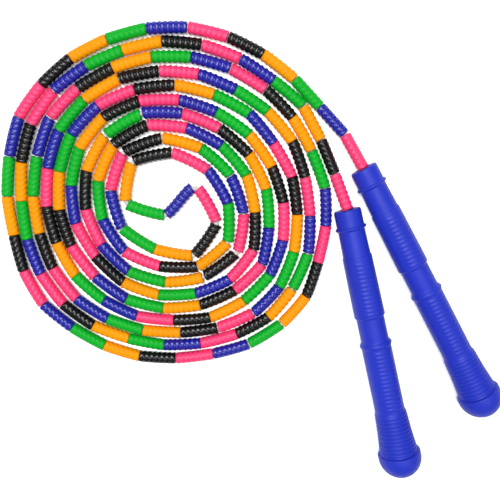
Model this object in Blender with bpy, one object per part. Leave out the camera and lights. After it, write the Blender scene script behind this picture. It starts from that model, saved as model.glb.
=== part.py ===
"""A beaded jump rope, laid flat in one layer: two hollow plastic handles and a cord threaded with 171 beads.

Lengths are metres, +Z is up and the floor is z = 0. The handles lie on it, with the middle of their
outer box over the origin. Handle a is the one that the rope starts from, handle b the one it ends in.
"""

import math

import bmesh
import bpy
from mathutils import Vector
from mathutils.geometry import intersect_point_line

MM = 0.001

# Beads on the cord. They repeat in this order of colours from handle a to handle b.
COLOURS = ("pink", "blue", "green", "orange", "black")
BEADS = 171
BEAD_LENGTH = 24.6 * MM
BEAD_RADIUS = 4.1 * MM
BEAD_END_RADIUS = BEAD_RADIUS - 0.7 * MM
CORD_RADIUS = 1.6 * MM
BEAD_BORE_RADIUS = CORD_RADIUS + 0.9 * MM
BEAD_SIDES = 8
CLEARANCE = 0.3 * MM
# The last bead at each end stands this far off the handle's mouth, which is recessed so that the handle can swing.
MOUTH_GAP = 0.6 * MM

# Beads nearest each handle are pieces of their own; the others are joined in runs.
LEAD_BEADS = 3
RUN_BEADS = 5

# Strands of the rope that lie side by side are at least this far apart, axis to axis.
STRAND_SPACING = 2 * BEAD_RADIUS * math.cos(math.pi / BEAD_SIDES) + 0.3 * MM
SETTLING_ROUNDS = 100

# The rope's axis lies this high and rises to the mouth of each handle over its first beads.
LYING_HEIGHT = BEAD_RADIUS + 0.15 * MM

# Handles, measured along the axis from the mouth.
HANDLE_LENGTH = 198.9 * MM
KNOB_LENGTH = 19.3 * MM
GRIP_LENGTH = HANDLE_LENGTH - KNOB_LENGTH
GRIP_BORE_RADIUS = 7.5 * MM
GRIP_WALL = 1.6 * MM
NECK_RADIUS = GRIP_BORE_RADIUS + GRIP_WALL
RIDGE_RADIUS = NECK_RADIUS + 1.4 * MM
RIDGE_PLACE = 12.8 * MM
FRONT_PANEL_PLACE = 33.2 * MM
FRONT_PANEL_LENGTH = 43.0 * MM
MIDDLE_RIDGE_PLACE = 97.4 * MM
FLARE_LENGTH = 29.3 * MM
KNOB_RADIUS = 15.4 * MM
KNOB_CENTRE = HANDLE_LENGTH - KNOB_RADIUS
SPIGOT_LENGTH = 9.0 * MM
FRONT_WALL = 4.4 * MM
MOUTH_HOLE_RADIUS = CORD_RADIUS + 1.0 * MM
MOUTH_RECESS_RADIUS = BEAD_RADIUS + 0.7 * MM
MOUTH_RECESS_DEPTH = 2.3 * MM
WASHER_THICKNESS = 1.2 * MM
HANDLE_SIDES = 24
HANDLES = {
    "a": {"mouth": (-42.1 * MM, 109.9 * MM), "heading": -61.6},
    "b": {"mouth": (-52.4 * MM, 81.8 * MM), "heading": -76.8},
}

# The rope as it was laid: where each bead meets the next, x and y in whole millimetres.
LAID = (
    (-42, 110), (-54, 131), (-71, 150), (-89, 169), (-110, 185), (-133, 196), (-160, 202), (-187, 201), (-213, 194),
    (-237, 182), (-257, 165), (-273, 144), (-281, 118), (-284, 91), (-281, 64), (-276, 40), (-263, 15), (-245, -1),
    (-222, -15), (-198, -23), (-172, -25), (-145, -22), (-120, -15), (-96, 0), (-79, 20), (-71, 44), (-66, 70),
    (-67, 96), (-77, 122), (-90, 144), (-108, 162), (-132, 176), (-158, 183), (-184, 183), (-210, 176), (-233, 163),
    (-253, 144), (-262, 118), (-266, 91), (-263, 65), (-256, 42), (-240, 19), (-220, 5), (-195, -4), (-168, -6),
    (-142, -3), (-116, 8), (-98, 27), (-88, 52), (-86, 78), (-90, 104), (-103, 127), (-119, 146), (-143, 159),
    (-169, 165), (-196, 162), (-220, 151), (-237, 132), (-247, 107), (-249, 82), (-242, 57), (-227, 35), (-206, 18),
    (-180, 12), (-154, 14), (-129, 25), (-111, 43), (-106, 69), (-108, 96), (-119, 119), (-140, 135), (-165, 145),
    (-191, 145), (-215, 131), (-229, 108), (-230, 83), (-220, 58), (-203, 40), (-179, 31), (-152, 34), (-128, 51),
    (-124, 78), (-133, 105), (-152, 123), (-180, 129), (-202, 121), (-212, 95), (-206, 70), (-183, 54), (-158, 53),
    (-142, 73), (-155, 92), (-184, 81), (-207, 86), (-197, 113), (-174, 120), (-150, 110), (-136, 86), (-135, 58),
    (-156, 43), (-182, 43), (-205, 54), (-219, 76), (-222, 102), (-210, 125), (-188, 137), (-162, 138), (-139, 126),
    (-122, 106), (-116, 80), (-118, 54), (-134, 34), (-157, 23), (-183, 22), (-208, 32), (-225, 50), (-238, 72),
    (-239, 98), (-233, 122), (-217, 143), (-193, 154), (-166, 154), (-142, 147), (-120, 132), (-104, 110), (-96, 87),
    (-96, 60), (-105, 36), (-123, 17), (-147, 5), (-173, 3), (-199, 7), (-222, 19), (-240, 36), (-251, 59),
    (-257, 84), (-255, 110), (-247, 135), (-229, 155), (-206, 169), (-179, 174), (-153, 172), (-128, 162), (-107, 148),
    (-90, 128), (-81, 104), (-77, 77), (-78, 51), (-89, 25), (-106, 5), (-128, -7), (-154, -14), (-180, -15),
    (-205, -10), (-230, 0), (-250, 16), (-264, 37), (-272, 61), (-274, 88), (-273, 114), (-265, 139), (-249, 161),
    (-227, 177), (-203, 187), (-177, 193), (-151, 191), (-125, 182), (-103, 168), (-83, 152), (-70, 128), (-60, 104),
    (-52, 82),
)

# Base colour, roughness and metallic value of each material.
MATERIALS = {
    "handle_blue": ((0.032, 0.045, 0.60, 1.0), 0.42, 0.0),
    "bead_pink": ((1.0, 0.082, 0.305, 1.0), 0.35, 0.0),
    "bead_blue": ((0.017, 0.017, 0.456, 1.0), 0.35, 0.0),
    "bead_green": ((0.0, 0.515, 0.032, 1.0), 0.35, 0.0),
    "bead_orange": ((1.0, 0.376, 0.002, 1.0), 0.35, 0.0),
    "bead_black": ((0.013, 0.012, 0.012, 1.0), 0.35, 0.0),
    "cord_white": ((0.85, 0.85, 0.83, 1.0), 0.75, 0.0),
    "washer_nylon": ((0.80, 0.80, 0.76, 1.0), 0.45, 0.0),
}


def clear_scene():
    for obj in list(bpy.data.objects):
        bpy.data.objects.remove(obj, do_unlink=True)


def material(name):
    found = bpy.data.materials.get(name)
    if found:
        return found
    colour, roughness, metallic = MATERIALS[name]
    made = bpy.data.materials.new(name)
    made.use_nodes = True
    made.diffuse_color = colour
    shader = made.node_tree.nodes["Principled BSDF"]
    shader.inputs["Base Color"].default_value = colour
    shader.inputs["Roughness"].default_value = roughness
    shader.inputs["Metallic"].default_value = metallic
    return made


def add_object(name, data, material_name, parent=None):
    obj = bpy.data.objects.new(name, data)
    bpy.context.scene.collection.objects.link(obj)
    data.materials.append(material(material_name))
    obj.parent = parent
    return obj


def add_mesh(name, bm, material_name, parent=None):
    bmesh.ops.recalc_face_normals(bm, faces=bm.faces)
    data = bpy.data.meshes.new(name)
    bm.to_mesh(data)
    bm.free()
    data.shade_smooth()
    return add_object(name, data, material_name, parent)


def add_frame(name, place, direction):
    """An empty at place with its own +Z along direction: the joint axis of what it carries."""
    empty = bpy.data.objects.new(name, None)
    bpy.context.scene.collection.objects.link(empty)
    empty.location = place
    empty.rotation_mode = "QUATERNION"
    empty.rotation_quaternion = Vector(direction).to_track_quat("Z", "Y")
    bpy.context.view_layer.update()
    return empty


def turned(outline, sides):
    """A closed mesh from an outline of (along, radius) turned about +Z.

    A radius of 0 is a pole. An outline with no pole is joined back to its start, which leaves a bore.
    """
    bm = bmesh.new()
    rings = []
    for along, radius in outline:
        count = sides if radius > 0 else 1
        ring = []
        for side in range(count):
            angle = 2 * math.pi * side / sides
            ring.append(bm.verts.new((radius * math.cos(angle), radius * math.sin(angle), along)))
        rings.append(ring)
    if len(rings[0]) > 1:
        rings.append(rings[0])
    for low, high in zip(rings, rings[1:]):
        for side in range(sides):
            after = (side + 1) % sides
            corners = [low[side % len(low)], low[after % len(low)], high[after % len(high)], high[side % len(high)]]
            face = [vert for place, vert in enumerate(corners) if vert not in corners[:place]]
            bm.faces.new(face)
    return bm


def arc(centre_along, centre_radius, size, start, end, steps):
    """Outline points on a circle, its angles in degrees from +Z toward larger radii."""
    points = []
    for step in range(steps + 1):
        angle = math.radians(start + (end - start) * step / steps)
        points.append((centre_along + size * math.cos(angle), centre_radius + size * math.sin(angle)))
    return points


# The rope's joints


def curve_point(before, start, end, after, share):
    """A point between start and end on a smooth curve that also heeds their neighbours."""
    bend = (2 * before - 5 * start + 4 * end - after) * share**2
    twist = (3 * start - before - 3 * end + after) * share**3
    return start + 0.5 * ((end - before) * share + bend + twist)


def bend_at(joints, number):
    """The angle by which the rope turns at a joint."""
    if number in (0, len(joints) - 1):
        return 0.0
    return (joints[number] - joints[number - 1]).angle(joints[number + 1] - joints[number])


def tangent_at(joints, number):
    """The rope's direction at a joint, halfway between those of the beads that meet there."""
    before = joints[max(number - 1, 0)]
    place = joints[number]
    after = joints[min(number + 1, BEADS)]
    return ((place - before).normalized() + (after - place).normalized()).normalized()


def room_at(joints, number, radius=BEAD_END_RADIUS):
    """How far from a joint the flat ends on both sides have to stay, so that their edges don't meet in the bend."""
    if number in (0, BEADS):
        return MOUTH_GAP
    reach = radius * math.cos(math.pi / BEAD_SIDES)
    return reach * math.sin(bend_at(joints, number) / 2) + CLEARANCE / 2


def bead_limits(joints, number):
    """The places between which a bead has to fit, numbered from 1."""
    start = joints[number - 1] + tangent_at(joints, number - 1) * room_at(joints, number - 1)
    end = joints[number] - tangent_at(joints, number) * room_at(joints, number)
    return start, end


def push_along(joints):
    """Moves joints apart along the rope until every bead has its length between them."""
    for number in range(1, BEADS + 1):
        start, end = bead_limits(joints, number)
        step = end - start
        push = step * 0.5 * min(0, 1 - BEAD_LENGTH / step.length)
        if number > 1:
            joints[number - 1] += push
        if number < BEADS:
            joints[number] -= push


def push_aside(joints):
    """Moves a joint off another strand of the rope that it lies too close to, and that strand off it."""
    for number in range(1, BEADS):
        place = joints[number]
        for other in range(BEADS):
            start = joints[other]
            if other in (number - 2, number - 1, number, number + 1) or (place - start).length > 1.6 * BEAD_LENGTH:
                continue
            near, share = intersect_point_line(place, start, joints[other + 1])
            if not 0 <= share <= 1:
                continue
            apart = place - near
            if apart.length < STRAND_SPACING:
                push = apart.normalized() * (STRAND_SPACING - apart.length) / 2
                place += push
                if other > 0:
                    start -= push * (1 - share)
                if other + 1 < BEADS:
                    joints[other + 1] -= push * share


def settled(joints):
    """The laid joints, moved a little so that no two beads share room."""
    for _ in range(SETTLING_ROUNDS):
        push_aside(joints)
        push_along(joints)
    return joints


def rope_joints():
    """Where each bead meets the next, from the mouth of handle a to the mouth of handle b."""
    joints = settled([Vector((x * MM, y * MM, 0)) for x, y in LAID])
    mouth_height = handle_frame("a")[0].z
    for joint in joints:
        joint.z = LYING_HEIGHT
    for end, beside in ((0, 1), (-1, -2)):
        joints[end].z = mouth_height
        joints[beside].z = LYING_HEIGHT + 0.22 * (mouth_height - LYING_HEIGHT)
    return joints


def bead_ends(joints, number):
    """The two end centres of a bead, in the middle of the place that it has."""
    start, end = bead_limits(joints, number)
    middle = (start + end) / 2
    half = (end - start).normalized() * BEAD_LENGTH / 2
    return middle - half, middle + half


# Rope pieces


def ring_at(bm, place, direction, radius):
    """A ring of vertices square to direction, its first one level with place."""
    across = direction.cross(Vector((0, 0, 1))).normalized()
    up = across.cross(direction).normalized()
    ring = []
    for side in range(BEAD_SIDES):
        angle = 2 * math.pi * (side + 0.5) / BEAD_SIDES
        ring.append(bm.verts.new(place + radius * (across * math.cos(angle) + up * math.sin(angle))))
    return ring


def add_run(name, joints, first, last, colour):
    """Beads first to last and the cord inside them and between them, as one closed solid."""
    bm = bmesh.new()
    rings = []
    for number in range(first, last + 1):
        start, end = bead_ends(joints, number)
        direction = (end - start).normalized()
        if number == first:
            outer_end = joints[number - 1] + tangent_at(joints, number - 1) * room_at(joints, number - 1, CORD_RADIUS)
            rings.append(ring_at(bm, outer_end, direction, CORD_RADIUS))
        rings.append(ring_at(bm, start, direction, CORD_RADIUS))
        rings.append(ring_at(bm, start, direction, BEAD_END_RADIUS))
        rings.append(ring_at(bm, (start + end) / 2, direction, BEAD_RADIUS))
        rings.append(ring_at(bm, end, direction, BEAD_END_RADIUS))
        rings.append(ring_at(bm, end, direction, CORD_RADIUS))
        if number == last:
            outer_end = joints[number] - tangent_at(joints, number) * room_at(joints, number, CORD_RADIUS)
            rings.append(ring_at(bm, outer_end, direction, CORD_RADIUS))
    for low, high in zip(rings, rings[1:]):
        for side in range(BEAD_SIDES):
            after = (side + 1) % BEAD_SIDES
            bm.faces.new((low[side], low[after], high[after], high[side]))
    bm.faces.new(rings[0])
    bm.faces.new(rings[-1])
    return add_mesh(name, bm, "bead_" + colour)


def add_runs(joints):
    first = LEAD_BEADS + 1
    run = 1
    while first <= BEADS - LEAD_BEADS:
        last = min(first + RUN_BEADS - 1, BEADS - LEAD_BEADS)
        add_run(f"bead_run_{run:02d}", joints, first, last, COLOURS[run % len(COLOURS)])
        first = last + 1
        run += 1


def add_lead_beads(side, joints):
    """The hollow beads nearest a handle, each free to spin on the cord about its own empty."""
    for place in range(1, LEAD_BEADS + 1):
        number = place if side == "a" else BEADS + 1 - place
        start, end = bead_ends(joints, number)
        frame = add_frame(f"lead_bead_{side}{place}_axis", (start + end) / 2, end - start)
        half = BEAD_LENGTH / 2
        outline = [
            (-half, BEAD_BORE_RADIUS),
            (-half, BEAD_END_RADIUS),
            (0, BEAD_RADIUS),
            (half, BEAD_END_RADIUS),
            (half, BEAD_BORE_RADIUS),
        ]
        colour = COLOURS[(number - 1) % len(COLOURS)]
        name = f"lead_bead_{side}{place}"
        add_mesh(name, turned(outline, 2 * BEAD_SIDES), "bead_" + colour, frame)


def add_lead_cord(side, joints):
    """The bare cord inside the lead beads, from just outside the mouth to the first run."""
    ordered = joints if side == "a" else joints[::-1]
    ends = ordered[: LEAD_BEADS + 1]
    last_joint = LEAD_BEADS if side == "a" else BEADS - LEAD_BEADS
    last_room = room_at(joints, last_joint, CORD_RADIUS)
    last_step = tangent_at(joints, last_joint) * (1 if side == "a" else -1)
    first_step = (ends[1] - ends[0]).normalized()
    ends = [ends[0] + first_step * 0.4 * MM] + ends[1:-1] + [ends[-1] - last_step * last_room]
    points = []
    steps = 4
    for number in range(LEAD_BEADS):
        before = ends[max(number - 1, 0)]
        after = ends[min(number + 2, LEAD_BEADS)]
        for step in range(steps):
            points.append(curve_point(before, ends[number], ends[number + 1], after, step / steps))
    points.append(ends[-1])
    curve = bpy.data.curves.new(f"lead_cord_{side}", "CURVE")
    curve.dimensions = "3D"
    curve.bevel_depth = CORD_RADIUS
    curve.bevel_resolution = 2
    curve.use_fill_caps = True
    spline = curve.splines.new("POLY")
    spline.points.add(len(points) - 1)
    for point, place in zip(spline.points, points):
        point.co = (*place, 1)
    return add_object(f"lead_cord_{side}", curve, "cord_white")


# Handle pieces


def handle_frame(side):
    """The mouth's centre and the axis toward the knob: the handle lies on its front ridge and its knob."""
    heading = math.radians(HANDLES[side]["heading"])
    rise = math.asin((KNOB_RADIUS - RIDGE_RADIUS) / (KNOB_CENTRE - RIDGE_PLACE))
    axis = Vector((math.cos(heading) * math.cos(rise), math.sin(heading) * math.cos(rise), math.sin(rise)))
    x, y = HANDLES[side]["mouth"]
    height = KNOB_RADIUS - KNOB_CENTRE * math.sin(rise)
    return Vector((x, y, height)), axis


def grip_outline():
    """The outside from the mouth back to the knob, then the bore: smooth necks, ridges and two ribbed panels."""
    rear = GRIP_LENGTH
    panel_end = FRONT_PANEL_PLACE + FRONT_PANEL_LENGTH
    outside = [
        (0, NECK_RADIUS - 0.4 * MM),
        (0.7 * MM, NECK_RADIUS + 0.2 * MM),
        (RIDGE_PLACE - 1.8 * MM, NECK_RADIUS + 0.3 * MM),
        (RIDGE_PLACE - 0.9 * MM, RIDGE_RADIUS - 0.2 * MM),
        (RIDGE_PLACE, RIDGE_RADIUS),
        (RIDGE_PLACE + 1.0 * MM, RIDGE_RADIUS - 0.2 * MM),
        (RIDGE_PLACE + 1.7 * MM, NECK_RADIUS),
        (FRONT_PANEL_PLACE - 0.6 * MM, NECK_RADIUS + 0.45 * MM),
        (FRONT_PANEL_PLACE, NECK_RADIUS + 1.05 * MM),
        (panel_end, NECK_RADIUS + 1.6 * MM),
        (panel_end + 0.8 * MM, NECK_RADIUS + 0.55 * MM),
        (MIDDLE_RIDGE_PLACE - 3.0 * MM, NECK_RADIUS + 0.6 * MM),
        (MIDDLE_RIDGE_PLACE - 1.4 * MM, NECK_RADIUS + 1.7 * MM),
        (MIDDLE_RIDGE_PLACE, NECK_RADIUS + 1.95 * MM),
        (MIDDLE_RIDGE_PLACE + 1.4 * MM, NECK_RADIUS + 1.4 * MM),
        (rear - FLARE_LENGTH - 2.2 * MM, NECK_RADIUS + 1.45 * MM),
        (rear - FLARE_LENGTH, NECK_RADIUS + 2.4 * MM),
        (rear - FLARE_LENGTH / 2, NECK_RADIUS + 3.2 * MM),
        (rear, NECK_RADIUS + 4.5 * MM),
    ]
    bore = [
        (rear, GRIP_BORE_RADIUS),
        (FRONT_WALL, GRIP_BORE_RADIUS),
        (FRONT_WALL, MOUTH_HOLE_RADIUS),
        (MOUTH_RECESS_DEPTH, MOUTH_HOLE_RADIUS),
        (MOUTH_RECESS_DEPTH, MOUTH_RECESS_RADIUS - 0.4 * MM),
        (0, MOUTH_RECESS_RADIUS),
    ]
    return outside + bore


def knob_outline():
    """A spigot that plugs the grip's bore, a rim wider than the grip and a round dome."""
    spigot = GRIP_BORE_RADIUS - CLEARANCE
    seat = GRIP_LENGTH + CLEARANCE
    dome = arc(KNOB_CENTRE, 0, KNOB_RADIUS, 90, 9, 9)
    return [
        (seat - SPIGOT_LENGTH, 0),
        (seat - SPIGOT_LENGTH, spigot - 0.8 * MM),
        (seat - SPIGOT_LENGTH + 0.8 * MM, spigot),
        (seat, spigot),
        (seat, KNOB_RADIUS - 0.7 * MM),
        (seat + 0.6 * MM, KNOB_RADIUS - 0.2 * MM),
    ] + dome + [(HANDLE_LENGTH, 0)]


def add_handle(side):
    place, axis = handle_frame(side)
    frame = add_frame(f"handle_{side}_axis", place, axis)
    add_mesh(f"grip_{side}", turned(grip_outline(), HANDLE_SIDES), "handle_blue", frame)
    add_mesh(f"end_knob_{side}", turned(knob_outline(), HANDLE_SIDES), "handle_blue", frame)
    add_cord_stop(side, frame)


def add_cord_stop(side, frame):
    """The cord's end inside the handle: through the mouth and a washer to a knot that can't pull through."""
    washer_front = FRONT_WALL + CLEARANCE
    washer_back = washer_front + WASHER_THICKNESS
    washer_radius = GRIP_BORE_RADIUS - 3 * CLEARANCE
    knot_front = washer_back + CLEARANCE
    knot_radius = MOUTH_HOLE_RADIUS + 2.0 * MM
    knot_half = 4.4 * MM
    tail = [
        (0.4 * MM, 0),
        (0.4 * MM, CORD_RADIUS),
        (knot_front - CLEARANCE, CORD_RADIUS),
        (knot_front - CLEARANCE, 0),
    ]
    washer = [
        (washer_front, CORD_RADIUS + CLEARANCE),
        (washer_front, washer_radius),
        (washer_back, washer_radius),
        (washer_back, CORD_RADIUS + CLEARANCE),
    ]
    knot = []
    for step in range(9):
        angle = math.pi * step / 8
        along = knot_front + knot_half * (1 - math.cos(angle))
        radius = knot_radius * math.sin(angle) if 0 < step < 8 else 0
        knot.append((along, radius))
    add_mesh(f"cord_tail_{side}", turned(tail, 2 * BEAD_SIDES), "cord_white", frame)
    add_mesh(f"thrust_washer_{side}", turned(washer, HANDLE_SIDES), "washer_nylon", frame)
    add_mesh(f"stop_knot_{side}", turned(knot, 2 * BEAD_SIDES), "cord_white", frame)


def build():
    clear_scene()
    joints = rope_joints()
    for side in ("a", "b"):
        add_handle(side)
        add_lead_beads(side, joints)
        add_lead_cord(side, joints)
    add_runs(joints)


build()
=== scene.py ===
import math
import random

import bpy
from mathutils import Euler, Matrix, Vector
from mathutils.geometry import intersect_point_line


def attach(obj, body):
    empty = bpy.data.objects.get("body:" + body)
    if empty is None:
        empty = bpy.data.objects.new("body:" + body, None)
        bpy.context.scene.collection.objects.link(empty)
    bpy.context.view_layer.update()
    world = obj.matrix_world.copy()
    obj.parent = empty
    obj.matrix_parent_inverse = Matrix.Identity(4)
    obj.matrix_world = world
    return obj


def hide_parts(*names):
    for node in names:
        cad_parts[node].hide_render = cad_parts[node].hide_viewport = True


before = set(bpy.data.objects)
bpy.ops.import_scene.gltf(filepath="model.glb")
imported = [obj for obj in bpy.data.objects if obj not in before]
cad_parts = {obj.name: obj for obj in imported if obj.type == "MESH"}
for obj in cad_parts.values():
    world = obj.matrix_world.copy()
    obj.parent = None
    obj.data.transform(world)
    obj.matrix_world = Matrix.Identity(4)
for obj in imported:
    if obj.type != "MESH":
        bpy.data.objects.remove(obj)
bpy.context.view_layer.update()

MM = 0.001

# Beads on the cord. They repeat in this order of colours from handle a to handle b.
COLOURS = ("pink", "blue", "green", "orange", "black")
BEADS = 171
BEAD_LENGTH = 24.6 * MM
BEAD_RADIUS = 4.1 * MM
BEAD_END_RADIUS = 3.4 * MM
BEAD_SIDES = 8
CORD_RADIUS = 1.6 * MM
CLEARANCE = 0.3 * MM
MOUTH_GAP = 0.6 * MM
LEAD_BEADS = 3

# Strands that lie side by side are at least this far apart, and only those within STRAND_REACH are looked at.
STRAND_SPACING = 2 * BEAD_RADIUS * math.cos(math.pi / BEAD_SIDES) + 0.3 * MM
STRAND_REACH = 1.6 * BEAD_LENGTH
SETTLING_ROUNDS = 100

# The rope's axis lies this high. Its last joint but one has this share of the rise to the handle's mouth.
LYING_HEIGHT = BEAD_RADIUS + 0.15 * MM
FIRST_RISE = 0.22

# A bead's moulded surface: bumps in rows that are staggered round it and lower at its rounded ends.
BUMP_PITCH = 3.6 * MM
BUMP_HEIGHT = 0.36 * MM
BUMP_SHARPNESS = 1.5
BUMP_ROWS = 4
END_BUMP_SHARE = 0.4
MOST_BUMP_ROLL = 0.5
MOST_BUMP_SHIFT = 0.6
BEAD_MEAN_RADIUS = 3.99 * MM
BEAD_END_ROUNDING = 0.4 * MM
BEAD_SKIN_SIDES = 32
BEAD_SKIN_RINGS = 40
BEAD_BORE = 2.1 * MM
TURNING_BORE = 2.5 * MM
LONGEST_BEAD = 26.5 * MM
END_GAP = 0.06 * MM

# A soft bead follows the rope's bend with each of its ends, up to this angle.
MOST_END_TILT = math.radians(14)

# At a handle's mouth the last bead reaches this far into the recess, and the cord ends this far off it.
MOUTH_REACH = 0.25 * MM
CORD_SETBACK = 0.3 * MM
CORD_STEPS = 6

# Handles, measured along the axis from the mouth.
HANDLE_LENGTH = 198.9 * MM
GRIP_LENGTH = 179.6 * MM
RIDGE_RADIUS = 10.5 * MM
RIDGE_PLACE = 12.8 * MM
KNOB_RADIUS = 15.4 * MM
KNOB_CENTRE = HANDLE_LENGTH - KNOB_RADIUS
GRIP_BORE_RADIUS = 7.5 * MM
FRONT_WALL = 4.4 * MM
MOUTH_HOLE_RADIUS = 2.6 * MM
MOUTH_RECESS_RADIUS = 4.8 * MM
MOUTH_RECESS_DEPTH = 2.3 * MM
SPIGOT_LENGTH = 9.0 * MM
SPIGOT_CHAMFER = 0.8 * MM
GRIP_SIDES = 112
GRIP_STEP = 0.3 * MM
HANDLES = {
    "a": {"mouth": (-42.1 * MM, 109.9 * MM), "heading": -61.6},
    "b": {"mouth": (-52.4 * MM, 81.8 * MM), "heading": -76.8},
}

# The grip's outside from the mouth to the knob, in millimetres: place along it and radius.
GRIP_OUTLINE = (
    (0, 8.75), (0.5, 9.2), (1.2, 9.35), (11.4, 9.4), (12.2, 10.35), (12.8, 10.5), (13.4, 10.35),
    (14.2, 9.1), (32.6, 9.55), (33.2, 10.15), (76.2, 10.7), (77.0, 9.65), (94.4, 9.7), (96.2, 10.9),
    (97.2, 11.05), (98.2, 10.9), (99.2, 10.4), (147.5, 10.5), (150.3, 11.5), (165.0, 12.3),
    (179.6, 13.75),
)
OUTLINE_EASE = 0.3 * MM

# Ribs on the front and back of two panels: they fade where the grip turns away.
PANELS = ((36.0 * MM, 75.0 * MM), (100.5 * MM, 145.5 * MM))
PANEL_TURN = math.radians(15)
PANEL_EDGE = (0.70, 0.90)
PANEL_RIB_PITCH = 3.0 * MM
PANEL_RIB_HEIGHT = 0.34 * MM
PANEL_RIB_SHARPNESS = 0.8

# Ribs all the way round the flare, which grow deep over its first part.
FLARE_RIBS = (148.5 * MM, 178.75 * MM)
FLARE_DEEPENS = (146.0 * MM, 153.0 * MM)
FLARE_RIB_PITCH = 2.75 * MM
FLARE_GROOVE_DEPTH = 1.15 * MM
FLARE_GROOVE_SHARPNESS = 0.75

# The mould's parting line along both sides, and the pips that it leaves on the two ridges.
SEAM_HEIGHT = 0.10 * MM
SEAM_EDGE = (0.9985, 1.0)
PIP_HEIGHT = 0.28 * MM
PIP_EDGE = (0.96, 1.0)
PIP_HALF_LENGTH = 1.2 * MM
PIP_SLOPE = 0.8 * MM
RIDGES = (RIDGE_PLACE, 97.2 * MM)

# The knob's rim, in millimetres: rise above its seat and radius. The dome goes on from there, and is
# drawn from the first angle off the axis, in degrees, through the turn that follows it.
KNOB_RIM = ((0, 14.5), (0.15, 14.95), (0.5, 15.25), (1.1, 15.35))
DOME_START = 97
DOME_TURN = 95.5
DOME_STEPS = 40

# The moulding gate's ring at the tip of the knob, in millimetres: radius and drop below the dome.
GATE = ((1.6, 0.00), (1.35, 0.10), (0.7, 0.12), (0.5, 0.02))
GATE_CENTRE_DROP = 0.02 * MM

# The camera looks down and is tilted by these angles about its own X and Y axes.
CAMERA_PLACE = (-132.4 * MM, 127.4 * MM, 445.1 * MM)
CAMERA_TILT = (-9.55, -1.77)
CAMERA_LENS = 46.1
CAMERA_SENSOR = 36

# Light: a white surround, a white floor with a little glow of its own, and two round lamps overhead.
SURROUND_LIGHT = 0.33
FLOOR_GLOW = 0.22
FLOOR_HALF = 6.0
LIGHT_TARGET = (-0.1, 0.0, 0)
LIGHTS = {
    "key": {"place": (-0.35, 0.40, 1.5), "size": 0.45, "watts": 28},
    "fill": {"place": (0.55, -0.35, 1.5), "size": 0.9, "watts": 6},
}

# Base colour, roughness and specular level of each moulded plastic, under this light.
PLASTICS = {
    "handle_blue": ((0.010, 0.024, 0.385), 0.50, 0.26),
    "bead_pink": ((0.76, 0.026, 0.13), 0.50, 0.45),
    "bead_blue": ((0.007, 0.009, 0.245), 0.34, 0.40),
    "bead_green": ((0.0, 0.315, 0.016), 0.50, 0.16),
    "bead_orange": ((0.75, 0.245, 0.0), 0.55, 0.12),
    "bead_black": ((0.0018, 0.0016, 0.0016), 0.32, 0.34),
    "washer_nylon": ((0.55, 0.55, 0.52), 0.50, 0.40),
}
CORD_WHITE = (0.62, 0.62, 0.60)

# The rope as it was laid: where each bead meets the next, x and y in whole millimetres.
LAID = (
    (-42, 110), (-54, 131), (-71, 150), (-89, 169), (-110, 185), (-133, 196), (-160, 202), (-187, 201),
    (-213, 194), (-237, 182), (-257, 165), (-273, 144), (-281, 118), (-284, 91), (-281, 64), (-276, 40),
    (-263, 15), (-245, -1), (-222, -15), (-198, -23), (-172, -25), (-145, -22), (-120, -15), (-96, 0),
    (-79, 20), (-71, 44), (-66, 70), (-67, 96), (-77, 122), (-90, 144), (-108, 162), (-132, 176),
    (-158, 183), (-184, 183), (-210, 176), (-233, 163), (-253, 144), (-262, 118), (-266, 91), (-263, 65),
    (-256, 42), (-240, 19), (-220, 5), (-195, -4), (-168, -6), (-142, -3), (-116, 8), (-98, 27),
    (-88, 52), (-86, 78), (-90, 104), (-103, 127), (-119, 146), (-143, 159), (-169, 165), (-196, 162),
    (-220, 151), (-237, 132), (-247, 107), (-249, 82), (-242, 57), (-227, 35), (-206, 18), (-180, 12),
    (-154, 14), (-129, 25), (-111, 43), (-106, 69), (-108, 96), (-119, 119), (-140, 135), (-165, 145),
    (-191, 145), (-215, 131), (-229, 108), (-230, 83), (-220, 58), (-203, 40), (-179, 31), (-152, 34),
    (-128, 51), (-124, 78), (-133, 105), (-152, 123), (-180, 129), (-202, 121), (-212, 95), (-206, 70),
    (-183, 54), (-158, 53), (-142, 73), (-155, 92), (-184, 81), (-207, 86), (-197, 113), (-174, 120),
    (-150, 110), (-136, 86), (-135, 58), (-156, 43), (-182, 43), (-205, 54), (-219, 76), (-222, 102),
    (-210, 125), (-188, 137), (-162, 138), (-139, 126), (-122, 106), (-116, 80), (-118, 54), (-134, 34),
    (-157, 23), (-183, 22), (-208, 32), (-225, 50), (-238, 72), (-239, 98), (-233, 122), (-217, 143),
    (-193, 154), (-166, 154), (-142, 147), (-120, 132), (-104, 110), (-96, 87), (-96, 60), (-105, 36),
    (-123, 17), (-147, 5), (-173, 3), (-199, 7), (-222, 19), (-240, 36), (-251, 59), (-257, 84),
    (-255, 110), (-247, 135), (-229, 155), (-206, 169), (-179, 174), (-153, 172), (-128, 162), (-107, 148),
    (-90, 128), (-81, 104), (-77, 77), (-78, 51), (-89, 25), (-106, 5), (-128, -7), (-154, -14),
    (-180, -15), (-205, -10), (-230, 0), (-250, 16), (-264, 37), (-272, 61), (-274, 88), (-273, 114),
    (-265, 139), (-249, 161), (-227, 177), (-203, 187), (-177, 193), (-151, 191), (-125, 182), (-103, 168),
    (-83, 152), (-70, 128), (-60, 104), (-52, 82),
)


# Materials


# A maker's words for the sockets of the Principled shader.
SHADER_SOCKETS = {
    "colour": "Base Color",
    "roughness": "Roughness",
    "normal": "Normal",
    "specular": "Specular IOR Level",
    "sheen": "Sheen Weight",
    "glow_colour": "Emission Color",
    "glow": "Emission Strength",
}

# A colour mix has its two colours at these inputs, and its result at this output.
MIX_LOW = 6
MIX_HIGH = 7
MIX_RESULT = 2


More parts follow.
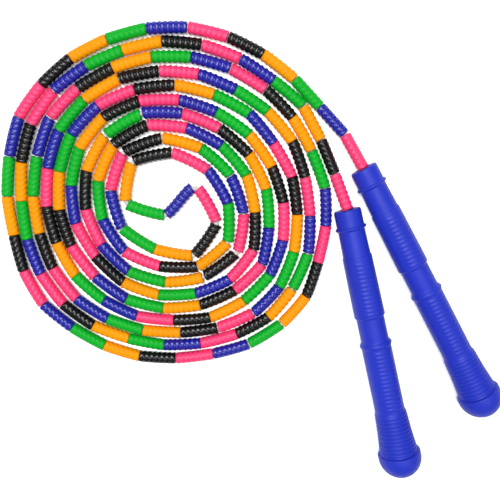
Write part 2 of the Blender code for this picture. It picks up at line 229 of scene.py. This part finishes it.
class Value:
    """A shader value that can be added and multiplied like a number."""

    def __init__(self, maker, socket):
        self.maker = maker
        self.socket = socket

    def maths(self, operation, first, second):
        node = self.maker.add("ShaderNodeMath", {"operation": operation}, {0: first, 1: second})
        return Value(self.maker, node.outputs[0])

    def __add__(self, other):
        return self.maths("ADD", self, other)

    def __radd__(self, other):
        return self.maths("ADD", other, self)

    def __mul__(self, other):
        return self.maths("MULTIPLY", self, other)

    def __rmul__(self, other):
        return self.maths("MULTIPLY", other, self)


class MaterialMaker:
    """A Principled material and the nodes that feed it."""

    def __init__(self, name):
        self.material = bpy.data.materials.new(name)
        self.material.use_nodes = True
        self.tree = self.material.node_tree
        self.shader = self.tree.nodes["Principled BSDF"]
        self.place = self.add("ShaderNodeTexCoord", {}, {}).outputs["Object"]

    def add(self, kind, settings, sockets):
        """A node of this kind, its settings, then the values or links of its sockets."""
        node = self.tree.nodes.new(kind)
        for name, setting in settings.items():
            setattr(node, name, setting)
        for name, source in sockets.items():
            self.feed(node.inputs[name], source)
        return node

    def feed(self, socket, source):
        """Links a value or a socket, or sets a plain number or colour."""
        if isinstance(source, Value):
            self.tree.links.new(source.socket, socket)
        elif isinstance(source, bpy.types.NodeSocket):
            self.tree.links.new(source, socket)
        else:
            socket.default_value = source

    def noise(self, scale, detail=2.0, roughness=0.5):
        sockets = {"Vector": self.place, "Scale": scale, "Detail": detail, "Roughness": roughness}
        return Value(self, self.add("ShaderNodeTexNoise", {}, sockets).outputs["Fac"])

    def wave(self, scale, distortion, direction):
        sockets = {"Vector": self.place, "Scale": scale, "Distortion": distortion}
        node = self.add("ShaderNodeTexWave", {"bands_direction": direction}, sockets)
        return Value(self, node.outputs["Fac"])

    def mix(self, factor, low, high):
        """A colour between low and high."""
        sockets = {"Factor": factor, MIX_LOW: low, MIX_HIGH: high}
        return self.add("ShaderNodeMix", {"data_type": "RGBA"}, sockets).outputs[MIX_RESULT]

    def bump(self, height, distance):
        sockets = {"Strength": 1.0, "Distance": distance, "Height": height}
        return self.add("ShaderNodeBump", {}, sockets).outputs["Normal"]

    def finish(self, **sockets):
        """Feeds the shader's sockets and gives the material."""
        for name, source in sockets.items():
            self.feed(self.shader.inputs[SHADER_SOCKETS[name]], source)
        return self.material


def tone(colour, factor):
    """The colour made darker or lighter, as a full RGBA value."""
    return tuple(min(1.0, part * factor) for part in colour) + (1.0,)


def moulded_plastic(name, colour, roughness, specular):
    """Coloured plastic: cloudy pigment, a skin that is duller in patches, and fine scuffs."""
    maker = MaterialMaker(name)
    clouds = maker.noise(45.0, detail=3.0)
    specks = maker.noise(900.0, roughness=0.6)
    scuffs = maker.noise(260.0, detail=4.0, roughness=0.65)
    return maker.finish(
        colour=maker.mix(clouds * 0.7 + specks * 0.3, tone(colour, 0.84), tone(colour, 1.16)),
        roughness=scuffs * 0.16 + (roughness - 0.08),
        normal=maker.bump(scuffs * 0.5 + specks * 0.5, 0.12 * MM),
        specular=specular,
    )


def braided_nylon(name, colour):
    """White cord: two crossing sets of strands and some fuzz."""
    maker = MaterialMaker(name)
    strands = maker.wave(420.0, 1.0, "X") * 0.5 + maker.wave(420.0, 1.0, "Y") * 0.5
    fuzz = maker.noise(2200.0, detail=3.0, roughness=0.7)
    return maker.finish(
        colour=maker.mix(strands * 0.7 + fuzz * 0.3, tone(colour, 0.80), tone(colour, 1.05)),
        roughness=fuzz * 0.2 + 0.7,
        normal=maker.bump(strands + fuzz * 0.3, 0.3 * MM),
        sheen=0.3,
    )


def floor_white(name):
    """A matt white studio floor with a faint cloudiness."""
    maker = MaterialMaker(name)
    return maker.finish(
        colour=maker.mix(maker.noise(30.0), (0.90, 0.90, 0.90, 1.0), (0.92, 0.92, 0.92, 1.0)),
        roughness=0.9,
        specular=0.0,
        glow_colour=(1.0, 1.0, 1.0, 1.0),
        glow=FLOOR_GLOW,
    )


def make_materials():
    made = {}
    for name, (colour, roughness, specular) in PLASTICS.items():
        made[name] = moulded_plastic(name + "_skin", colour, roughness, specular)
    made["cord_white"] = braided_nylon("cord_white_skin", CORD_WHITE)
    made["floor"] = floor_white("floor_white")
    return made


# Meshes


def add_mesh(name, verts, faces, material, smooth=True):
    data = bpy.data.meshes.new(name)
    data.from_pydata(verts, [], faces)
    data.update()
    if smooth:
        data.shade_smooth()
    data.materials.append(material)
    obj = bpy.data.objects.new(name, data)
    bpy.context.scene.collection.objects.link(obj)
    return obj


def loft(rings, closed_start=None, closed_end=None, looped=False):
    """Vertices and faces over rings of equal size. A pole point closes an end; looped joins last to first."""
    count = len(rings[0])
    verts = [vert for ring in rings for vert in ring]
    faces = []
    pairs = [(row, row + 1) for row in range(len(rings) - 1)]
    if looped:
        pairs.append((len(rings) - 1, 0))
    for low, high in pairs:
        for side in range(count):
            after = (side + 1) % count
            faces.append((low * count + side, low * count + after, high * count + after, high * count + side))
    for pole, row, flip in ((closed_start, 0, True), (closed_end, len(rings) - 1, False)):
        if pole is None:
            continue
        verts.append(pole)
        for side in range(count):
            after = (side + 1) % count
            face = (row * count + side, row * count + after, len(verts) - 1)
            faces.append(face[::-1] if flip else face)
    return verts, faces


def frame_along(place, direction):
    """A matrix that puts local +Z along direction, local +X level and local +Y as near up as it goes."""
    along = Vector(direction).normalized()
    across = Vector((0, 0, 1)).cross(along).normalized()
    up = along.cross(across)
    matrix = Matrix((across, up, along)).transposed().to_4x4()
    matrix.translation = place
    return matrix


# The rope's joints and the handles' places


def curve_point(before, start, end, after, share):
    """A point between start and end on a smooth curve that also heeds their neighbours."""
    bend = (2 * before - 5 * start + 4 * end - after) * share**2
    twist = (3 * start - before - 3 * end + after) * share**3
    return start + 0.5 * ((end - before) * share + bend + twist)


def bend_at(joints, number):
    """The angle by which the rope turns at a joint."""
    if number in (0, len(joints) - 1):
        return 0.0
    return (joints[number] - joints[number - 1]).angle(joints[number + 1] - joints[number])


def tangent_at(joints, number):
    """The rope's direction at a joint, halfway between those of the beads that meet there."""
    before = joints[max(number - 1, 0)]
    place = joints[number]
    after = joints[min(number + 1, BEADS)]
    return ((place - before).normalized() + (after - place).normalized()).normalized()


def room_at(joints, number):
    """How far off a joint the flat ends on both sides stay, so that their edges don't meet in the bend."""
    if number in (0, BEADS):
        return MOUTH_GAP
    reach = BEAD_END_RADIUS * math.cos(math.pi / BEAD_SIDES)
    return reach * math.sin(bend_at(joints, number) / 2) + CLEARANCE / 2


def bead_limits(joints, number):
    """The places between which a bead has to fit, numbered from 1."""
    start = joints[number - 1] + tangent_at(joints, number - 1) * room_at(joints, number - 1)
    end = joints[number] - tangent_at(joints, number) * room_at(joints, number)
    return start, end


def push_along(joints):
    """Moves joints apart along the rope until every bead has its length between them."""
    for number in range(1, BEADS + 1):
        start, end = bead_limits(joints, number)
        step = end - start
        push = step * 0.5 * min(0, 1 - BEAD_LENGTH / step.length)
        if number > 1:
            joints[number - 1] += push
        if number < BEADS:
            joints[number] -= push


def push_aside(joints):
    """Moves a joint off another strand of the rope that it lies too close to, and that strand off it."""
    for number in range(1, BEADS):
        place = joints[number]
        for other in range(BEADS):
            start = joints[other]
            beside = number - 2 <= other <= number + 1
            if beside or (place - start).length > STRAND_REACH:
                continue
            near, share = intersect_point_line(place, start, joints[other + 1])
            if not 0 <= share <= 1:
                continue
            apart = place - near
            if apart.length < STRAND_SPACING:
                push = apart.normalized() * (STRAND_SPACING - apart.length) / 2
                place += push
                if other > 0:
                    start -= push * (1 - share)
                if other + 1 < BEADS:
                    joints[other + 1] -= push * share


def settled(joints):
    """The laid joints, moved a little so that no two beads share room."""
    for _ in range(SETTLING_ROUNDS):
        push_aside(joints)
        push_along(joints)
    return joints


def rope_joints():
    """Where each bead meets the next, from the mouth of handle a to the mouth of handle b."""
    joints = settled([Vector((x * MM, y * MM, 0)) for x, y in LAID])
    mouth_height = handle_frame("a")[0].z
    for joint in joints:
        joint.z = LYING_HEIGHT
    for end, beside in ((0, 1), (-1, -2)):
        joints[end].z = mouth_height
        joints[beside].z = LYING_HEIGHT + FIRST_RISE * (mouth_height - LYING_HEIGHT)
    return joints


def handle_frame(side):
    """The mouth's centre and the axis toward the knob: the handle lies on its front ridge and its knob."""
    heading = math.radians(HANDLES[side]["heading"])
    rise = math.asin((KNOB_RADIUS - RIDGE_RADIUS) / (KNOB_CENTRE - RIDGE_PLACE))
    axis = Vector((math.cos(heading) * math.cos(rise), math.sin(heading) * math.cos(rise), math.sin(rise)))
    x, y = HANDLES[side]["mouth"]
    height = KNOB_RADIUS - KNOB_CENTRE * math.sin(rise)
    return Vector((x, y, height)), axis


# Rope


def end_room(joints, number):
    """How far a bead stays off a joint: a hair in a gentle bend, its end corner's reach in a sharp one."""
    spare = max(0.0, bend_at(joints, number) - 2 * MOST_END_TILT)
    return END_GAP + BEAD_END_RADIUS * math.sin(spare / 2)


def soft_ends(joints, number):
    """Ends of a bead that fills the room between its neighbours, up to the longest bead."""
    start = joints[number - 1] + tangent_at(joints, number - 1) * end_room(joints, number - 1)
    end = joints[number] - tangent_at(joints, number) * end_room(joints, number)
    middle = (start + end) / 2
    half = (end - start) / 2
    if half.length > LONGEST_BEAD / 2:
        half *= LONGEST_BEAD / 2 / half.length
    return middle - half, middle + half


def turning_ends(joints, number):
    """Ends of a bead that turns by itself: it is straight, and reaches just into the handle's mouth."""
    start, end = bead_limits(joints, number)
    along = (end - start).normalized()
    if number == 1:
        start = start - along * (MOUTH_GAP + MOUTH_REACH)
    if number == BEADS:
        end = end + along * (MOUTH_GAP + MOUTH_REACH)
    return start, end


def held_near(direction, chord):
    """A direction turned back to within the most that a bead's end tilts from its chord."""
    angle = direction.angle(chord)
    if angle <= MOST_END_TILT:
        return direction
    return chord.slerp(direction, MOST_END_TILT / angle)


def bead_line(start, end, first, last, share):
    """The centre of a softly bent bead and its direction there."""
    step = end - start
    first = first * step.length
    last = last * step.length
    place = start * (2 * share**3 - 3 * share**2 + 1) + end * (3 * share**2 - 2 * share**3)
    place += first * (share**3 - 2 * share**2 + share) + last * (share**3 - share**2)
    along = step * (6 * share - 6 * share**2)
    along += first * (3 * share**2 - 4 * share + 1) + last * (3 * share**2 - 2 * share)
    return place, along.normalized()


def bead_ring(place, along, lean, radius_at):
    """A ring round a bead, square to along apart from the lean that makes its end flush with the next."""
    across = Vector((0, 0, 1)).cross(along).normalized()
    up = along.cross(across)
    ring = []
    for side in range(BEAD_SKIN_SIDES):
        angle = 2 * math.pi * side / BEAD_SKIN_SIDES
        out = (across * math.cos(angle) + up * math.sin(angle)) * radius_at(angle)
        ring.append(place + out - along * (out.dot(lean) / along.dot(lean)))
    return ring


def bump(wave):
    """Round bumps with wider hollows between them, from a wave between -1 and 1."""
    return BUMP_HEIGHT * (2 * ((1 + wave) / 2) ** BUMP_SHARPNESS - 1)


def bead_skin(joints, number, roll, shift, turns):
    """One bead: a bumpy tube with rounded ends and a bore, a little bent with the rope."""
    start, end = turning_ends(joints, number) if turns else soft_ends(joints, number)
    chord = (end - start).normalized()
    tilts = [held_near(tangent_at(joints, place), chord) for place in (number - 1, number)]
    bore = BEAD_BORE
    if turns:
        tilts = [chord, chord]
        bore = TURNING_BORE
    halves = [chord.slerp(tilt, 0.5) for tilt in tilts]
    length = (end - start).length
    rings = []
    for row in range(BEAD_SKIN_RINGS + 1):
        share = row / BEAD_SKIN_RINGS
        place, along = bead_line(start, end, halves[0], halves[1], share)
        near_end = abs(2 * share - 1) ** 3
        lean = along.slerp(tilts[0] if share < 0.5 else tilts[1], near_end)
        edge = min(share, 1 - share) * length
        fade = min(1.0, edge / BEAD_END_ROUNDING)
        mean = BEAD_MEAN_RADIUS - BEAD_END_ROUNDING * (1 - math.sqrt(1 - (1 - fade) ** 2))
        beat = math.cos(2 * math.pi * share * length / BUMP_PITCH + shift)
        beat *= END_BUMP_SHARE + (1 - END_BUMP_SHARE) * fade
        rings.append(bead_ring(
            place, along, lean,
            lambda angle: mean + bump(beat * math.cos(BUMP_ROWS * angle + roll)),
        ))
    for share in (1, 0.5, 0):
        place, along = bead_line(start, end, halves[0], halves[1], share)
        lean = along if share == 0.5 else tilts[share]
        rings.append(bead_ring(place, along, lean, lambda angle: bore))
    return loft(rings, looped=True)


def add_beads(name, numbers, joints, material, random_source, turns=False):
    """One object that holds these beads, each with its own roll and shift of the bumps."""
    verts = []
    faces = []
    for number in numbers:
        roll = random_source.uniform(-MOST_BUMP_ROLL, MOST_BUMP_ROLL)
        shift = random_source.uniform(-MOST_BUMP_SHIFT, MOST_BUMP_SHIFT)
        more_verts, more_faces = bead_skin(joints, number, roll, shift, turns)
        offset = len(verts)
        verts += more_verts
        faces += [tuple(index + offset for index in face) for face in more_faces]
    return add_mesh(name, verts, faces, material)


def add_rope(joints, materials):
    """All beads of a colour as one piece, the six that turn by themselves, and the cord that carries them."""
    random_source = random.Random(7)
    runs = [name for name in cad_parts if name.startswith("bead_run_")]
    lead = {}
    for place in range(1, LEAD_BEADS + 1):
        lead[place] = f"lead_bead_a{place}"
        lead[BEADS + 1 - place] = f"lead_bead_b{place}"
    for order, colour in enumerate(COLOURS):
        numbers = [number for number in range(order + 1, BEADS + 1, len(COLOURS)) if number not in lead]
        skin = materials["bead_" + colour]
        piece = add_beads("beads_" + colour, numbers, joints, skin, random_source)
        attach(piece, "rope")
        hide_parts(*runs)
    for number, node in sorted(lead.items()):
        colour = COLOURS[(number - 1) % len(COLOURS)]
        skin = materials["bead_" + colour]
        piece = add_beads(node + "_skin", [number], joints, skin, random_source, turns=True)
        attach(piece, node + "_body")
        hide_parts(node)
    cord = add_cord(joints, materials["cord_white"])
    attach(cord, "rope")
    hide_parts("lead_cord_a", "lead_cord_b", *runs)


def add_cord(joints, material):
    """The cord inside the beads, one smooth curve through every joint from mouth to mouth."""
    points = []
    for number in range(BEADS):
        before = joints[max(number - 1, 0)]
        after = joints[min(number + 2, BEADS)]
        for step in range(CORD_STEPS):
            share = step / CORD_STEPS
            points.append(curve_point(before, joints[number], joints[number + 1], after, share))
    points[0] = joints[0] + tangent_at(joints, 0) * CORD_SETBACK
    points.append(joints[-1] - tangent_at(joints, BEADS) * CORD_SETBACK)
    curve = bpy.data.curves.new("core_cord", "CURVE")
    curve.dimensions = "3D"
    curve.bevel_depth = CORD_RADIUS
    curve.bevel_resolution = 4
    curve.use_fill_caps = True
    spline = curve.splines.new("POLY")
    spline.points.add(len(points) - 1)
    for point, place in zip(spline.points, points):
        point.co = (*place, 1)
    curve.materials.append(material)
    obj = bpy.data.objects.new("core_cord", curve)
    bpy.context.scene.collection.objects.link(obj)
    return obj


# Handles


def between(value, low, high):
    """0 up to low, 1 from high, and a smooth rise between them."""
    share = max(0.0, min(1.0, (value - low) / (high - low)))
    return share * share * (3 - 2 * share)


def outline_radius(along):
    """The grip's radius at a place along it, on straight lines between the outline's points."""
    place = along / MM
    for (start, low), (end, high) in zip(GRIP_OUTLINE, GRIP_OUTLINE[1:]):
        if place <= end:
            return (low + (high - low) * max(0.0, place - start) / (end - start)) * MM
    return GRIP_OUTLINE[-1][1] * MM


def soft_outline(along):
    """The outline with its corners eased."""
    before, after = outline_radius(along - OUTLINE_EASE), outline_radius(along + OUTLINE_EASE)
    return (before + 2 * outline_radius(along) + after) / 4


def panel_rib(along, first, last):
    """Round-topped ribs with narrow grooves between them, 0 in a groove and 1 on top."""
    if not first < along < last:
        return 0.0
    top = abs(math.sin(math.pi * (along - first) / PANEL_RIB_PITCH)) ** PANEL_RIB_SHARPNESS
    return top * between(min(along - first, last - along), 0, PANEL_RIB_PITCH / 2)


def flare_groove(along):
    """Depth of the grooves round the flare."""
    first, last = FLARE_RIBS
    if not first < along < last:
        return 0.0
    groove = 1 - abs(math.sin(math.pi * (along - first) / FLARE_RIB_PITCH)) ** FLARE_GROOVE_SHARPNESS
    return FLARE_GROOVE_DEPTH * between(along, *FLARE_DEEPENS) * groove


def grip_radius(along, angle):
    """Radius of the grip's outside. The angle is measured from straight up, round the axis."""
    radius = soft_outline(along)
    panel = between(abs(math.cos(angle - PANEL_TURN)), *PANEL_EDGE)
    for first, last in PANELS:
        radius += PANEL_RIB_HEIGHT * panel * panel_rib(along, first, last)
    radius -= flare_groove(along)
    seam = abs(math.sin(angle))
    radius += SEAM_HEIGHT * between(seam, *SEAM_EDGE)
    for ridge in RIDGES:
        pip = between(PIP_HALF_LENGTH - abs(along - ridge), 0, PIP_SLOPE)
        radius += PIP_HEIGHT * between(seam, *PIP_EDGE) * pip
    return radius


def turned_ring(matrix, along, radius_at):
    """A ring round the handle's axis, which is the matrix's own Z."""
    ring = []
    for side in range(GRIP_SIDES):
        angle = 2 * math.pi * side / GRIP_SIDES
        radius = radius_at(angle)
        ring.append(matrix @ Vector((radius * math.sin(angle), radius * math.cos(angle), along)))
    return ring


def add_grip(side, matrix, material):
    """The grip's outside from the mouth to the knob, then its bore back to the recess in the mouth."""
    rings = []
    steps = round(GRIP_LENGTH / GRIP_STEP)
    for step in range(steps + 1):
        along = GRIP_LENGTH * step / steps
        rings.append(turned_ring(matrix, along, lambda angle: grip_radius(along, angle)))
    inside = (
        (GRIP_LENGTH, GRIP_BORE_RADIUS + 0.4 * MM),
        (GRIP_LENGTH - 0.4 * MM, GRIP_BORE_RADIUS),
        (FRONT_WALL, GRIP_BORE_RADIUS),
        (FRONT_WALL, MOUTH_HOLE_RADIUS),
        (MOUTH_RECESS_DEPTH, MOUTH_HOLE_RADIUS),
        (MOUTH_RECESS_DEPTH, MOUTH_RECESS_RADIUS - 0.4 * MM),
        (0.25 * MM, MOUTH_RECESS_RADIUS - 0.1 * MM),
        (0.0, MOUTH_RECESS_RADIUS + 0.1 * MM),
    )
    for along, radius in inside:
        rings.append(turned_ring(matrix, along, lambda angle: radius))
    verts, faces = loft(rings, looped=True)
    return add_mesh(f"grip_{side}_skin", verts, [face[::-1] for face in faces], material)


def knob_profile():
    """From the spigot's end, out over the rim and the dome: place along the handle and radius."""
    spigot = GRIP_BORE_RADIUS - CLEARANCE
    seat = GRIP_LENGTH + CLEARANCE
    points = [
        (seat - SPIGOT_LENGTH, spigot - SPIGOT_CHAMFER),
        (seat - SPIGOT_LENGTH + SPIGOT_CHAMFER, spigot),
        (seat, spigot),
    ]
    points += [(seat + rise * MM, radius * MM) for rise, radius in KNOB_RIM]
    for step in range(DOME_STEPS):
        angle = math.radians(DOME_START - DOME_TURN * step / (DOME_STEPS - 1))
        points.append((KNOB_CENTRE + KNOB_RADIUS * math.cos(angle), KNOB_RADIUS * math.sin(angle)))
    return points


def add_knob(side, matrix, material):
    """The knob's profile turned round the axis, with the moulding gate's ring at its tip."""
    rings = []
    for along, radius in knob_profile():
        rings.append(turned_ring(matrix, along, lambda angle: radius))
    for radius, drop in GATE:
        reach = math.sqrt(KNOB_RADIUS**2 - (radius * MM) ** 2)
        along = KNOB_CENTRE + reach - drop * MM
        rings.append(turned_ring(matrix, along, lambda angle: radius * MM))
    start = matrix @ Vector((0, 0, knob_profile()[0][0]))
    end = matrix @ Vector((0, 0, HANDLE_LENGTH - GATE_CENTRE_DROP))
    verts, faces = loft(rings, closed_start=start, closed_end=end)
    return add_mesh(f"end_knob_{side}_skin", verts, [face[::-1] for face in faces], material)


def add_handle(side, materials):
    place, axis = handle_frame(side)
    matrix = frame_along(place, axis)
    grip = add_grip(side, matrix, materials["handle_blue"])
    knob = add_knob(side, matrix, materials["handle_blue"])
    for piece, node in ((grip, f"grip_{side}"), (knob, f"end_knob_{side}")):
        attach(piece, f"handle_{side}")
        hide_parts(node)


def dress_inner_pieces(materials):
    """The cord's ends, washers and knots inside the handles keep their CAD shapes."""
    for name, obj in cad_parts.items():
        if name.startswith(("cord_tail", "stop_knot")):
            skin = materials["cord_white"]
        elif name.startswith("thrust_washer"):
            skin = materials["washer_nylon"]
        else:
            continue
        obj.data.materials.clear()
        obj.data.materials.append(skin)


# Surroundings


def add_camera():
    data = bpy.data.cameras.new("camera")
    data.sensor_width = CAMERA_SENSOR
    data.lens = CAMERA_LENS
    data.clip_start = 0.01
    data.clip_end = 50
    camera = bpy.data.objects.new("camera", data)
    bpy.context.scene.collection.objects.link(camera)
    camera.location = CAMERA_PLACE
    camera.rotation_euler = Euler((math.radians(CAMERA_TILT[0]), math.radians(CAMERA_TILT[1]), 0))
    bpy.context.scene.camera = camera


def add_floor(material):
    half = FLOOR_HALF
    verts = [(-half, -half, 0), (half, -half, 0), (half, half, 0), (-half, half, 0)]
    floor = add_mesh("floor", verts, [(0, 1, 2, 3)], material, smooth=False)


def add_lamp(name, place, size, watts):
    """A round area light, aimed at the object."""
    data = bpy.data.lights.new(name, "AREA")
    data.shape = "DISK"
    data.size = size
    data.energy = watts
    light = bpy.data.objects.new(name, data)
    bpy.context.scene.collection.objects.link(light)
    light.location = place
    light.rotation_mode = "QUATERNION"
    light.rotation_quaternion = (Vector(LIGHT_TARGET) - Vector(place)).to_track_quat("-Z", "Y")


def add_lights():
    world = bpy.data.worlds.new("studio")
    world.use_nodes = True
    background = world.node_tree.nodes["Background"]
    background.inputs["Color"].default_value = (1, 1, 1, 1)
    background.inputs["Strength"].default_value = SURROUND_LIGHT
    bpy.context.scene.world = world
    for name, lamp in LIGHTS.items():
        add_lamp(name, **lamp)
    bpy.context.scene.view_settings.view_transform = "Standard"


def build():
    add_camera()
    materials = make_materials()
    joints = rope_joints()
    add_rope(joints, materials)
    for side in ("a", "b"):
        add_handle(side, materials)
    dress_inner_pieces(materials)
    add_floor(materials["floor"])
    add_lights()


build()
